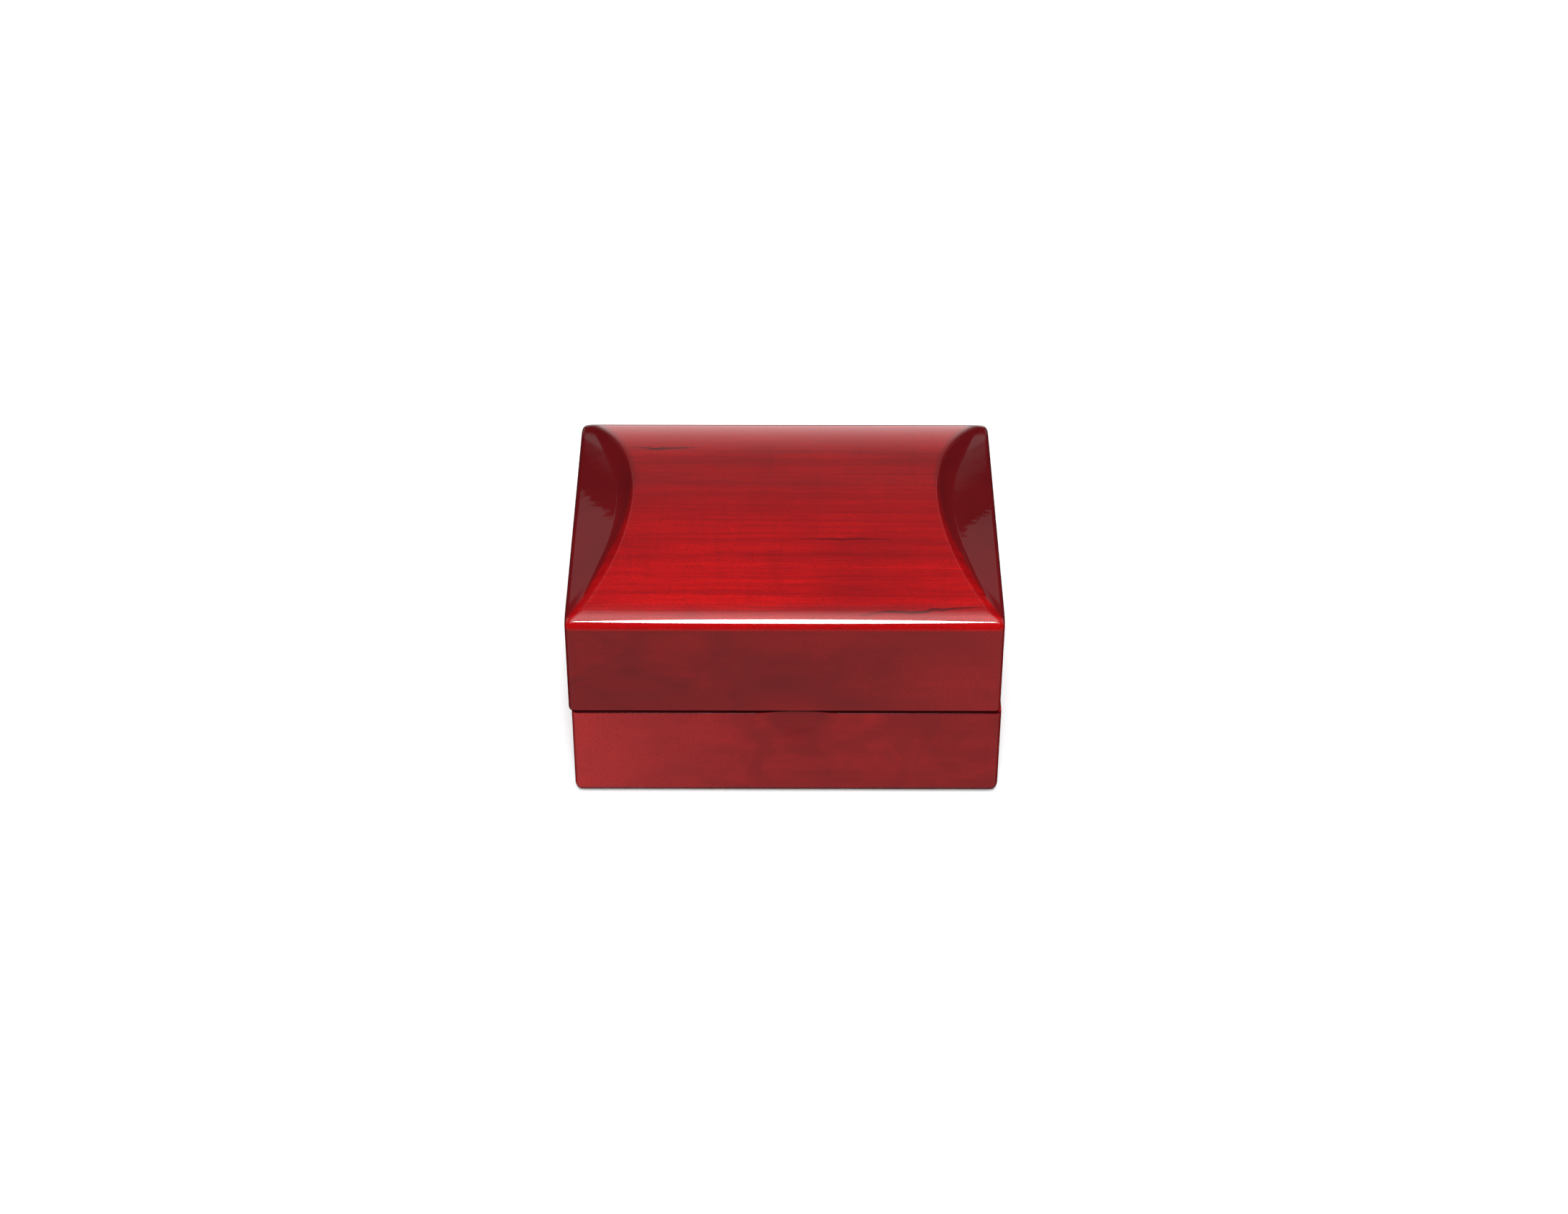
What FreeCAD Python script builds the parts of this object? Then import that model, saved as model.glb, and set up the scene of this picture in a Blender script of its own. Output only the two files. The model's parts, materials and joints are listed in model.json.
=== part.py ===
import FreeCAD, Part
import math
import os
import Sketcher

# A lacquered wooden ring box: a base and a hinged lid, both lined, with two ring cushions in the base.
# Millimetres. +X is the box's right, -Y its front, +Z up. The origin is the middle of its footprint.

# Lengths closer than this count as equal.
TOUCHING = 1e-6

os.makedirs("parts", exist_ok=True)
doc = FreeCAD.newDocument("ring_box")
sheet = doc.addObject("Spreadsheet::Sheet", "dims")
sheet_rows = []


def dimension(name, content):
    """Add one named cell to the sheet: a number, or a formula of the names above it."""
    sheet_rows.append(name)
    row = len(sheet_rows)
    sheet.set(f"A{row}", name)
    sheet.set(f"B{row}", str(content))
    sheet.setAlias(f"B{row}", name)


# How far a cut is drawn past the wood it removes.
dimension("cutting_margin", 2.0)
# Outer form.
dimension("box_width", 64.0)
dimension("box_depth", 51.2)
dimension("base_width", 63.8)
dimension("parting_height", 16.0)
dimension("parting_gap", 0.2)
dimension("shoulder_height", 32.9)
dimension("dome_rise", 4.55)
dimension("top_round", 2.5)
dimension("corner_round", 1.0)
dimension("rim_round", 0.4)
dimension("foot_round", 1.0)
# The lid sits a little to the left on its pin, within the side play of the knuckles.
dimension("lid_shift", 0.3)
# Scoop in each end of the lid: a tilted disc with a rounded rim, cut in from the end's top edge.
dimension("scoop_tilt_degrees", 22)
dimension("scoop_disc_radius", 46.0)
dimension("scoop_rim_round", 4.0)
dimension("scoop_reach", 11.2)
dimension("scoop_cut_height", 9.0)
# Finger scoop in the base's front rim: a ball that just enters the front face.
dimension("finger_scoop_width", 10.8)
dimension("finger_scoop_depth", 0.6)
dimension("finger_scoop_offset", 1.6)
# Hollows.
dimension("wall", 5.5)
dimension("floor_thickness", 3.0)
dimension("ceiling_height", 31.0)
dimension("lip_clearance", 0.6)
# Felt and lining.
dimension("felt_thickness", 0.5)
dimension("felt_inset", 2.5)
dimension("lining_thickness", 1.2)
dimension("lip_height", 3.0)
dimension("fit_gap", 0.1)
dimension("lip_gap", 0.6)
# Cushions.
dimension("board_thickness", 1.0)
dimension("cushion_height", 8.3)
dimension("cushion_round", 3.0)
dimension("ring_slit", 0.5)
dimension("cushion_gap", 0.2)
dimension("lid_pad_thickness", 2.0)
dimension("lid_pad_round", 0.9)
# Hinge.
dimension("hinge_inset", 2.0)
dimension("stop_angle_degrees", 48)
dimension("barrel_radius", 1.5)
dimension("barrel_clearance", 0.3)
dimension("pin_radius", 0.6)
dimension("pin_clearance", 0.05)
dimension("pin_head_radius", 1.1)
dimension("pin_head_length", 0.6)
dimension("knuckle_length", 6.4)
dimension("knuckle_gap", 0.5)
dimension("leaf_thickness", 0.5)
dimension("leaf_drop", 8.0)
dimension("screw_spacing", 22.0)
dimension("screw_drop", 5.0)
dimension("screw_radius", 0.6)
dimension("screw_head_radius", 1.1)
dimension("screw_length", 4.5)
dimension("screw_point_length", 0.9)

# Worked out from the numbers above.
dimension("half_width", "=box_width / 2")
dimension("base_half_width", "=base_width / 2")
dimension("half_depth", "=box_depth / 2")
dimension("base_rim", "=parting_height - parting_gap / 2")
dimension("lid_rim", "=parting_height + parting_gap / 2")
dimension("dome_radius", "=(half_depth ^ 2 + dome_rise ^ 2) / (2 * dome_rise)")
dimension("dome_top", "=shoulder_height + dome_rise")
dimension("dome_centre_height", "=dome_top - dome_radius")
dimension("round_centre_depth", "=half_depth - top_round")
dimension("round_start_height",
          "=dome_centre_height + sqrt((dome_radius - top_round) ^ 2 - round_centre_depth ^ 2)")
dimension("round_share", "=dome_radius / (dome_radius - top_round)")
dimension("round_end_depth", "=round_centre_depth * round_share")
dimension("round_end_height",
          "=dome_centre_height + (round_start_height - dome_centre_height) * round_share")
dimension("waste_depth", "=half_depth + cutting_margin")
dimension("waste_height", "=dome_top + cutting_margin")
dimension("scoop_axis_out", "=scoop_disc_radius - scoop_reach")
dimension("scoop_flat_radius", "=scoop_disc_radius - scoop_rim_round")
dimension("finger_ball_radius",
          "=((finger_scoop_width / 2) ^ 2 + finger_scoop_depth ^ 2) / (2 * finger_scoop_depth)")
dimension("finger_ball_front", "=half_depth + finger_ball_radius - finger_scoop_depth")
dimension("base_floor", "=felt_thickness + floor_thickness")
dimension("well_half_width", "=base_width / 2 - wall")
dimension("well_half_depth", "=half_depth - wall")
dimension("lid_half_width", "=well_half_width + lip_clearance")
dimension("lid_half_depth", "=well_half_depth + lip_clearance")
dimension("lip_top", "=parting_height + lip_height")
dimension("lid_lining_bottom", "=lip_top + lip_gap")
dimension("hinge_depth", "=half_depth - hinge_inset")
dimension("stop_reach", "=hinge_inset + cutting_margin")
dimension("stop_height", "=stop_reach * tan(stop_angle_degrees * 1 deg)")
dimension("stop_edge_depth", "=hinge_depth + stop_reach")
dimension("base_stop_height", "=parting_height - stop_height")
dimension("lid_stop_height", "=parting_height + stop_height")
dimension("barrel_groove_radius", "=barrel_radius + barrel_clearance")
dimension("bore_radius", "=pin_radius + pin_clearance")
dimension("knuckle_pitch", "=knuckle_length + knuckle_gap")
dimension("hinge_length", "=5 * knuckle_length + 4 * knuckle_gap")
dimension("groove_length", "=hinge_length + 2 * pin_head_length + 2 * barrel_clearance + 2 * lid_shift")
dimension("leaf_edge_depth", "=hinge_depth - barrel_groove_radius")
dimension("web_end_depth", "=hinge_depth - (barrel_radius + bore_radius) / 2")
dimension("screw_shank_end", "=screw_length - screw_point_length")
dimension("base_leaf_under", "=base_rim - leaf_thickness")
dimension("base_leaf_end", "=base_rim - leaf_drop")
dimension("base_leaf_depth", "=well_half_depth + leaf_thickness")
dimension("base_screw_height", "=base_rim - screw_drop")
dimension("lid_leaf_over", "=lid_rim + leaf_thickness")
dimension("lid_leaf_end", "=lid_rim + leaf_drop")
dimension("lid_leaf_depth", "=lid_half_depth + leaf_thickness")
dimension("lid_screw_height", "=lid_rim + screw_drop")
dimension("board_half_width", "=well_half_width - lining_thickness - fit_gap")
dimension("board_half_depth", "=well_half_depth - lining_thickness - fit_gap")
dimension("board_top", "=base_floor + board_thickness")
dimension("lid_board_half_width", "=lid_half_width - lining_thickness - fit_gap")
dimension("lid_board_half_depth", "=lid_half_depth - lining_thickness - fit_gap")
dimension("lid_board_bottom", "=ceiling_height - board_thickness")
dimension("lid_pad_bottom", "=lid_board_bottom - lid_pad_thickness")
dimension("lid_pad_half_width", "=lid_board_half_width - cushion_gap")
dimension("lid_pad_half_depth", "=lid_board_half_depth - cushion_gap")
dimension("cushion_near", "=ring_slit / 2")
dimension("cushion_near_top", "=cushion_near + cushion_round")
dimension("cushion_far", "=board_half_depth - cushion_gap")
dimension("cushion_far_top", "=cushion_far - cushion_round")
dimension("cushion_top", "=board_top + cushion_height")
dimension("cushion_shoulder", "=cushion_top - cushion_round")
doc.recompute()


def value(name):
    """The number behind a sheet name, which may carry a leading minus sign."""
    if name.startswith("-"):
        return -value(name[1:])
    return float(sheet.get(name))


def term(name):
    """A sheet name, with its leading minus sign if it has one, as an expression other objects can use."""
    if name.startswith("-"):
        return "-dims." + name[1:]
    return "dims." + name


def bind(item, **properties):
    """Bind properties of an object to expressions. Two underscores in a name stand for a dot."""
    for name, expression in properties.items():
        item.setExpression(name.replace("__", "."), expression)


def new_body(label):
    body = doc.addObject("PartDesign::Body", label)
    body.AllowCompound = True
    return body


def new_sketch(body, name, plane):
    """A sketch flat on one of the body's own origin planes."""
    sketch = body.newObject("Sketcher::SketchObject", f"{body.Name}_{name}")
    faces = [item for item in body.Origin.OriginFeatures if item.Role == plane]
    sketch.AttachmentSupport = [(faces[0], "")]
    sketch.MapMode = "FlatFace"
    return sketch


def place_point(sketch, geometry, end, across, up):
    """Hold one end of a line or arc at a pair of sheet names. The name "0" stands for the origin."""
    for kind, name in (("DistanceX", across), ("DistanceY", up)):
        number = 0.0 if name == "0" else value(name)
        index = sketch.addConstraint(Sketcher.Constraint(kind, -1, 1, geometry, end, number))
        if name != "0":
            sketch.setExpression(f"Constraints[{index}]", term(name))


def vector(across, up):
    return FreeCAD.Vector(*(0.0 if name == "0" else value(name) for name in (across, up)), 0.0)


def draw_outline(sketch, corners):
    """Draw a closed outline. Each corner is (across, up), or (across, up, radius, side) where an arc of that
    radius leads on to the next corner; side is +1 where the arc's centre lies left of the way there."""
    count = len(corners)
    for index, corner in enumerate(corners):
        start = vector(*corner[:2])
        finish = vector(*corners[(index + 1) % count][:2])
        if len(corner) == 2:
            sketch.addGeometry(Part.LineSegment(start, finish))
            place_point(sketch, index, 1, *corner[:2])
            continue
        radius, side = value(corner[2]), corner[3]
        chord = finish - start
        left = FreeCAD.Vector(-chord.y, chord.x, 0).normalize() * side
        centre = (start + finish) / 2 + left * math.sqrt(max(radius**2 - (chord.Length / 2) ** 2, 0.0))
        middle = centre - left * radius
        arc = Part.Arc(start, middle, finish)
        sketch.addGeometry(arc)
        # A counter-clockwise arc keeps its order of ends; a clockwise one is stored the other way round.
        place_point(sketch, index, 1 if side > 0 else 2, *corner[:2])
        radius_index = sketch.addConstraint(Sketcher.Constraint("Radius", index, radius))
        sketch.setExpression(f"Constraints[{radius_index}]", term(corner[2]))
    for index, corner in enumerate(corners):
        following = corners[(index + 1) % count]
        leaving = 1 if len(corner) == 4 and corner[3] < 0 else 2
        entering = 2 if len(following) == 4 and following[3] < 0 else 1
        sketch.addConstraint(
            Sketcher.Constraint("Coincident", index, leaving, (index + 1) % count, entering)
        )


def draw_circle(sketch, across, up, radius):
    index = sketch.addGeometry(Part.Circle(vector(across, up), FreeCAD.Vector(0, 0, 1), value(radius)))
    place_point(sketch, index, 3, across, up)
    radius_index = sketch.addConstraint(Sketcher.Constraint("Radius", index, value(radius)))
    sketch.setExpression(f"Constraints[{radius_index}]", term(radius))


def offset_sketch(sketch, **components):
    """Shift a sketch from its plane by expressions: x and y along the plane, z off it."""
    for axis, expression in components.items():
        sketch.setExpression(f"AttachmentOffset.Base.{axis}", expression)


def rectangle(left, bottom, right, top):
    return [(left, bottom), (right, bottom), (right, top), (left, top)]


def extrude(body, kind, sketch, name, length, middle=False, reverse=False):
    """Pad or Pocket a sketch by an expression, optionally from the middle or towards the plane's far side."""
    doc.recompute()
    before = body.Shape.Volume if not body.Shape.isNull() else 0.0
    feature = body.newObject(f"PartDesign::{kind}", f"{body.Name}_{name}")
    feature.Profile = sketch
    feature.setExpression("Length", length)
    feature.Midplane = middle
    feature.Reversed = reverse
    sketch.Visibility = False
    doc.recompute()
    change = feature.Shape.Volume - before
    if (change > 0) != (kind == "Pad"):
        raise RuntimeError(f"{feature.Name} changes the volume by {change:.3f} mm3")
    return feature


def round_edges(body, name, radius, wanted):
    """Fillet the edges of the body's tip that the test picks out."""
    doc.recompute()
    base = body.Tip
    names = [f"Edge{number + 1}" for number, edge in enumerate(base.Shape.Edges) if wanted(edge)]
    fillet = body.newObject("PartDesign::Fillet", f"{body.Name}_{name}")
    fillet.Base = (base, names)
    fillet.setExpression("Radius", term(radius))
    doc.recompute()
    return fillet


def mirror_across(body, feature, name):
    """Repeat a feature on the other side of the body's YZ plane."""
    planes = [item for item in body.Origin.OriginFeatures if item.Role == "YZ_Plane"]
    mirror = body.newObject("PartDesign::Mirrored", f"{body.Name}_{name}")
    mirror.Originals = [feature]
    mirror.MirrorPlane = (planes[0], [""])
    body.Tip = mirror
    doc.recompute()
    return mirror


def is_upright(edge):
    box = edge.BoundBox
    return box.ZLength > TOUCHING and box.XLength < TOUCHING and box.YLength < TOUCHING


def lies_at(height):
    """A test for the edges that lie flat at one height."""
    def test(edge):
        box = edge.BoundBox
        return abs(box.ZMin - height) < TOUCHING and abs(box.ZMax - height) < TOUCHING
    return test


def block(label, x, y, z, length, width, height):
    """A plain card or board from expressions for its low corner and its three sizes."""
    card = doc.addObject("Part::Box", label)
    bind(card, Placement__Base__x=x, Placement__Base__y=y, Placement__Base__z=z,
         Length=length, Width=width, Height=height)
    return card


def leaf_outline(hollow, rim, plate_face, plate_depth, plate_end, edge="leaf_edge_depth"):
    """The L of a hinge leaf from the side: flat on the rim up to an edge, and down the back wall's inside."""
    return [(hollow, rim),
            (edge, rim),
            (edge, plate_face),
            (plate_depth, plate_face),
            (plate_depth, plate_end),
            (hollow, plate_end)]


BASE_LEAF = ("well_half_depth", "base_rim", "base_leaf_under", "base_leaf_depth", "base_leaf_end")
LID_LEAF = ("lid_half_depth", "lid_rim", "lid_leaf_over", "lid_leaf_depth", "lid_leaf_end")


def turn_screws(body, kind, hollow, height):
    """The pair of leaf screws, as material (Revolution) or as the seats they need (Groove)."""
    doc.recompute()
    sketch = new_sketch(body, "screw_sketch", "YZ_Plane")
    offset_sketch(sketch, x=term(hollow), y=term(height), z="dims.screw_spacing / 2")
    draw_outline(sketch, [("0", "0"),
                          ("screw_length", "0"),
                          ("screw_shank_end", "screw_radius"),
                          ("leaf_thickness", "screw_radius"),
                          ("0", "screw_head_radius")])
    turned = body.newObject(f"PartDesign::{kind}", f"{body.Name}_screw")
    turned.Profile = sketch
    turned.ReferenceAxis = (sketch, ["H_Axis"])
    sketch.Visibility = False
    doc.recompute()
    mirror_across(body, turned, "screw_pair")


def cut_hinge_seat(body, stop_height, leaf, screw_height):
    """Cut what the hinge needs: stop bevel, barrel's groove, leaf's recess and screw seats."""
    bevel = new_sketch(body, "bevel_sketch", "YZ_Plane")
    draw_outline(bevel, [("hinge_depth", "parting_height"),
                         ("stop_edge_depth", stop_height),
                         ("stop_edge_depth", "parting_height")])
    extrude(body, "Pocket", bevel, "bevel", "2 * dims.box_width", middle=True)

    groove = new_sketch(body, "groove_sketch", "YZ_Plane")
    draw_circle(groove, "hinge_depth", "parting_height", "barrel_groove_radius")
    extrude(body, "Pocket", groove, "groove", "dims.groove_length", middle=True)

    recess = new_sketch(body, "recess_sketch", "YZ_Plane")
    draw_outline(recess, leaf_outline(*leaf, edge="web_end_depth"))
    extrude(body, "Pocket", recess, "recess", "dims.hinge_length + 2 * dims.fit_gap", middle=True)
    turn_screws(body, "Groove", leaf[0], screw_height)


def make_base_shell():
    body = new_body("base_shell")
    footprint = new_sketch(body, "footprint", "XY_Plane")
    offset_sketch(footprint, z="dims.felt_thickness")
    draw_outline(footprint, rectangle("-base_half_width", "-half_depth", "base_half_width", "half_depth"))
    extrude(body, "Pad", footprint, "block", "dims.base_rim - dims.felt_thickness")
    round_edges(body, "corners", "corner_round", is_upright)
    round_edges(body, "foot", "foot_round", lies_at(value("felt_thickness")))
    round_edges(body, "rim", "rim_round", lies_at(value("base_rim")))

    well = new_sketch(body, "well_sketch", "XY_Plane")
    offset_sketch(well, z="dims.base_rim")
    draw_outline(well, rectangle("-well_half_width", "-well_half_depth",
                                 "well_half_width", "well_half_depth"))
    extrude(body, "Pocket", well, "well", "dims.base_rim - dims.base_floor")
    cut_hinge_seat(body, "base_stop_height", BASE_LEAF, "base_screw_height")

    ball = body.newObject("PartDesign::SubtractiveSphere", "finger_scoop")
    bind(ball, Radius="dims.finger_ball_radius", Placement__Base__x="dims.finger_scoop_offset",
         Placement__Base__y="-dims.finger_ball_front", Placement__Base__z="dims.base_rim")
    doc.recompute()
    return body


def cut_lid_dome(body):
    """Remove everything above the barrel-vault top and its two rounded edges."""
    waste = new_sketch(body, "waste_sketch", "YZ_Plane")
    draw_outline(waste, [("-waste_depth", "waste_height"),
                         ("-waste_depth", "round_start_height"),
                         ("-half_depth", "round_start_height", "top_round", -1),
                         ("-round_end_depth", "round_end_height", "dome_radius", -1),
                         ("round_end_depth", "round_end_height", "top_round", -1),
                         ("half_depth", "round_start_height"),
                         ("waste_depth", "round_start_height"),
                         ("waste_depth", "waste_height")])
    extrude(body, "Pocket", waste, "dome", "2 * dims.box_width", middle=True)


def cut_lid_scoops(body):
    """Cut the scoop in the right end with a tilted round-rimmed disc, and mirror it to the left end."""
    doc.recompute()
    disc = new_sketch(body, "scoop_sketch", "XZ_Plane")
    tilt = "dims.scoop_tilt_degrees * 1 deg"
    turned = FreeCAD.Rotation(FreeCAD.Vector(0, 0, 1), -value("scoop_tilt_degrees"))
    disc.AttachmentOffset = FreeCAD.Placement(FreeCAD.Vector(), turned)
    offset_sketch(disc, x=f"dims.half_width + dims.scoop_axis_out * cos({tilt})",
                  y=f"dims.shoulder_height - dims.scoop_axis_out * sin({tilt})")
    disc.setExpression("AttachmentOffset.Rotation.Angle", f"-{tilt}")
    draw_outline(disc, [("0", "0"),
                        ("0", "scoop_cut_height"),
                        ("-scoop_disc_radius", "scoop_cut_height"),
                        ("-scoop_disc_radius", "scoop_rim_round", "scoop_rim_round", 1),
                        ("-scoop_flat_radius", "0")])
    scoop = body.newObject("PartDesign::Groove", "scoop")
    scoop.Profile = disc
    scoop.ReferenceAxis = (disc, ["V_Axis"])
    disc.Visibility = False
    doc.recompute()
    mirror_across(body, scoop, "scoop_pair")


def make_lid_shell():
    body = new_body("lid_shell")
    footprint = new_sketch(body, "footprint", "XY_Plane")
    offset_sketch(footprint, z="dims.lid_rim")
    draw_outline(footprint, rectangle("-half_width", "-half_depth", "half_width", "half_depth"))
    extrude(body, "Pad", footprint, "block", "dims.waste_height - dims.lid_rim")
    round_edges(body, "corners", "corner_round", is_upright)
    round_edges(body, "rim", "rim_round", lies_at(value("lid_rim")))
    cut_lid_dome(body)
    cut_lid_scoops(body)

    hollow = new_sketch(body, "hollow_sketch", "XY_Plane")
    offset_sketch(hollow, z="dims.lid_rim")
    draw_outline(hollow, rectangle("-lid_half_width", "-lid_half_depth", "lid_half_width", "lid_half_depth"))
    extrude(body, "Pocket", hollow, "hollow", "dims.ceiling_height - dims.lid_rim", reverse=True)
    cut_hinge_seat(body, "lid_stop_height", LID_LEAF, "lid_screw_height")
    return body


def make_leaf(label, leaf, screw_height, knuckles):
    """A hinge leaf with its knuckles, given as (name, steps along the pin from the middle, mirrored)."""
    hollow, rim, plate_face = leaf[:3]
    body = new_body(label)
    plate = new_sketch(body, "plate_sketch", "YZ_Plane")
    draw_outline(plate, leaf_outline(*leaf))
    extrude(body, "Pad", plate, "plate", "dims.hinge_length", middle=True)
    for name, steps, mirrored in knuckles:
        shift = f"{steps} * dims.knuckle_pitch - dims.knuckle_length / 2"
        web = new_sketch(body, f"{name}_web_sketch", "YZ_Plane")
        offset_sketch(web, z=shift)
        draw_outline(web, rectangle("leaf_edge_depth", rim, "web_end_depth", plate_face))
        web_pad = extrude(body, "Pad", web, f"{name}_web", "dims.knuckle_length")
        if mirrored:
            mirror_across(body, web_pad, f"{name}_web_pair")
        barrel = new_sketch(body, f"{name}_barrel_sketch", "YZ_Plane")
        offset_sketch(barrel, z=shift)
        draw_circle(barrel, "hinge_depth", "parting_height", "barrel_radius")
        barrel_pad = extrude(body, "Pad", barrel, f"{name}_barrel", "dims.knuckle_length")
        if mirrored:
            mirror_across(body, barrel_pad, f"{name}_barrel_pair")
    bore = new_sketch(body, "bore_sketch", "YZ_Plane")
    draw_circle(bore, "hinge_depth", "parting_height", "bore_radius")
    extrude(body, "Pocket", bore, "bore", "2 * dims.hinge_length", middle=True)
    turn_screws(body, "Groove", hollow, screw_height)
    return body


def make_pin():
    """The hinge pin, with a low round head at each end."""
    body = new_body("hinge_pin")
    shank = new_sketch(body, "shank_sketch", "YZ_Plane")
    draw_circle(shank, "hinge_depth", "parting_height", "pin_radius")
    extrude(body, "Pad", shank, "shank", "dims.hinge_length", middle=True)
    head = new_sketch(body, "head_sketch", "YZ_Plane")
    offset_sketch(head, z="dims.hinge_length / 2")
    draw_circle(head, "hinge_depth", "parting_height", "pin_head_radius")
    mirror_across(body, extrude(body, "Pad", head, "head", "dims.pin_head_length"), "head_pair")
    return body


def make_screws(label, hollow, height):
    body = new_body(label)
    turn_screws(body, "Revolution", hollow, height)
    return body


def make_cushion(label, turned_round):
    """A ring cushion: a long roll with rounded top edges. The front one is the rear one turned half round."""
    body = new_body(label)
    roll = new_sketch(body, "roll_sketch", "YZ_Plane")
    draw_outline(roll, [("cushion_near", "board_top"),
                        ("cushion_far", "board_top"),
                        ("cushion_far", "cushion_shoulder", "cushion_round", 1),
                        ("cushion_far_top", "cushion_top"),
                        ("cushion_near_top", "cushion_top", "cushion_round", 1),
                        ("cushion_near", "cushion_shoulder")])
    extrude(body, "Pad", roll, "roll", "2 * (dims.board_half_width - dims.cushion_gap)", middle=True)
    if turned_round:
        body.Placement = FreeCAD.Placement(FreeCAD.Vector(), FreeCAD.Rotation(FreeCAD.Vector(0, 0, 1), 180))
    return body


def make_lid_pad():
    body = new_body("lid_pad")
    face = new_sketch(body, "face_sketch", "XY_Plane")
    offset_sketch(face, z="dims.lid_pad_bottom")
    draw_outline(face, rectangle("-lid_pad_half_width", "-lid_pad_half_depth",
                                 "lid_pad_half_width", "lid_pad_half_depth"))
    extrude(body, "Pad", face, "slab", "dims.lid_pad_thickness")
    round_edges(body, "edges", "lid_pad_round", lies_at(value("lid_pad_bottom")))
    return body


def make_lining(prefix, half_width, half_depth, bottom, top):
    """Four wrapped cards round a hollow: the front and back ones full width, the side ones between them."""
    across, along = term(half_width), term(half_depth)
    thick, gap = "dims.lining_thickness", "dims.fit_gap"
    height = f"{term(top)} - {term(bottom)}"
    long_card = dict(x=f"{gap} - {across}", z=term(bottom), length=f"2 * ({across} - {gap})",
                     width=thick, height=height)
    short_card = dict(y=f"{thick} + {gap} - {along}", z=term(bottom), length=thick,
                      width=f"2 * ({along} - {thick} - {gap})", height=height)
    return [block(f"{prefix}_liner_front", y=f"-{along}", **long_card),
            block(f"{prefix}_liner_back", y=f"{along} - {thick}", **long_card),
            block(f"{prefix}_liner_left", x=f"-{across}", **short_card),
            block(f"{prefix}_liner_right", x=f"{across} - {thick}", **short_card)]


def make_board(label, half_width, half_depth, bottom, thickness):
    across, along = term(half_width), term(half_depth)
    return block(label, f"-{across}", f"-{along}", term(bottom),
                 f"2 * {across}", f"2 * {along}", term(thickness))


base_parts = [
    make_base_shell(),
    *make_lining("base", "well_half_width", "well_half_depth", "base_floor", "lip_top"),
    make_board("pad_board", "board_half_width", "board_half_depth", "base_floor", "board_thickness"),
    make_cushion("ring_pad_front", True),
    make_cushion("ring_pad_rear", False),
    make_leaf("hinge_leaf_base", BASE_LEAF, "base_screw_height", [("middle", 0, False), ("end", 2, True)]),
    make_pin(),
    make_screws("base_hinge_screws", "well_half_depth", "base_screw_height"),
    block("base_felt", "dims.felt_inset - dims.base_half_width", "dims.felt_inset - dims.half_depth", "0 mm",
          "2 * (dims.base_half_width - dims.felt_inset)", "2 * (dims.half_depth - dims.felt_inset)",
          "dims.felt_thickness"),
]
lid_parts = [
    make_lid_shell(),
    *make_lining("lid", "lid_half_width", "lid_half_depth", "lid_lining_bottom", "ceiling_height"),
    make_board("lid_pad_board", "lid_board_half_width", "lid_board_half_depth", "lid_board_bottom",
               "board_thickness"),
    make_lid_pad(),
    make_leaf("hinge_leaf_lid", LID_LEAF, "lid_screw_height", [("side", 1, True)]),
    make_screws("lid_hinge_screws", "lid_half_depth", "lid_screw_height"),
]
# Every lid piece moves by the side play, on top of any place it already has.
for part in lid_parts:
    bound = {path.lstrip("."): expression for path, expression in part.ExpressionEngine}
    part.setExpression("Placement.Base.x", bound.get("Placement.Base.x", "0") + " - dims.lid_shift")
doc.recompute()

for item in doc.Objects:
    if "Invalid" in item.State or "Error" in item.State:
        raise RuntimeError(f"{item.Label} is in state {item.State}")
for part in base_parts + lid_parts:
    shape = part.Shape
    if shape.isNull() or not shape.isValid() or not shape.Solids:
        raise RuntimeError(f"{part.Label} has no valid solid")
    shape.exportStep(f"parts/{part.Label}.step")
    print(f"{part.Label:20s} {len(shape.Solids)} solids {shape.Volume:10.2f} mm3")
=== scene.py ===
import json
import math
from collections import namedtuple

import bmesh
import bpy
import numpy as np
from mathutils import Euler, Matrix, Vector


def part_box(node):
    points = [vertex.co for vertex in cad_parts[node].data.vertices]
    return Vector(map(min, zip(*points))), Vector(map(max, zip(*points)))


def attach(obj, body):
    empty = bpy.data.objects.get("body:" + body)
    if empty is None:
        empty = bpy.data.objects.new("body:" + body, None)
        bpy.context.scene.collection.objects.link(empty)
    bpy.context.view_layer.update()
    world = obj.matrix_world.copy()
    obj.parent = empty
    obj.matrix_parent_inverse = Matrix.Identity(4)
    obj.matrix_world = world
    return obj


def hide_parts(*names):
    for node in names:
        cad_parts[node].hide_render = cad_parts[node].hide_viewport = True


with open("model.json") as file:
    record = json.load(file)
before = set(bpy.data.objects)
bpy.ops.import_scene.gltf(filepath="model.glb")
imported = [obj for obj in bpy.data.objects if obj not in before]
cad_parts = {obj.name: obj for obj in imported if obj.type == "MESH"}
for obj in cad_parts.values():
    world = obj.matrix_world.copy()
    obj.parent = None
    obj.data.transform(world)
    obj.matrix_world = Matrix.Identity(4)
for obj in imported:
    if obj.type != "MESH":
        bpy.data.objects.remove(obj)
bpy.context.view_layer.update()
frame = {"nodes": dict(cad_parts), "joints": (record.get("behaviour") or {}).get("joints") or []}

# A lacquered ring box. Lengths are in metres; MM turns a number of millimetres into metres.
MM = 0.001

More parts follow.
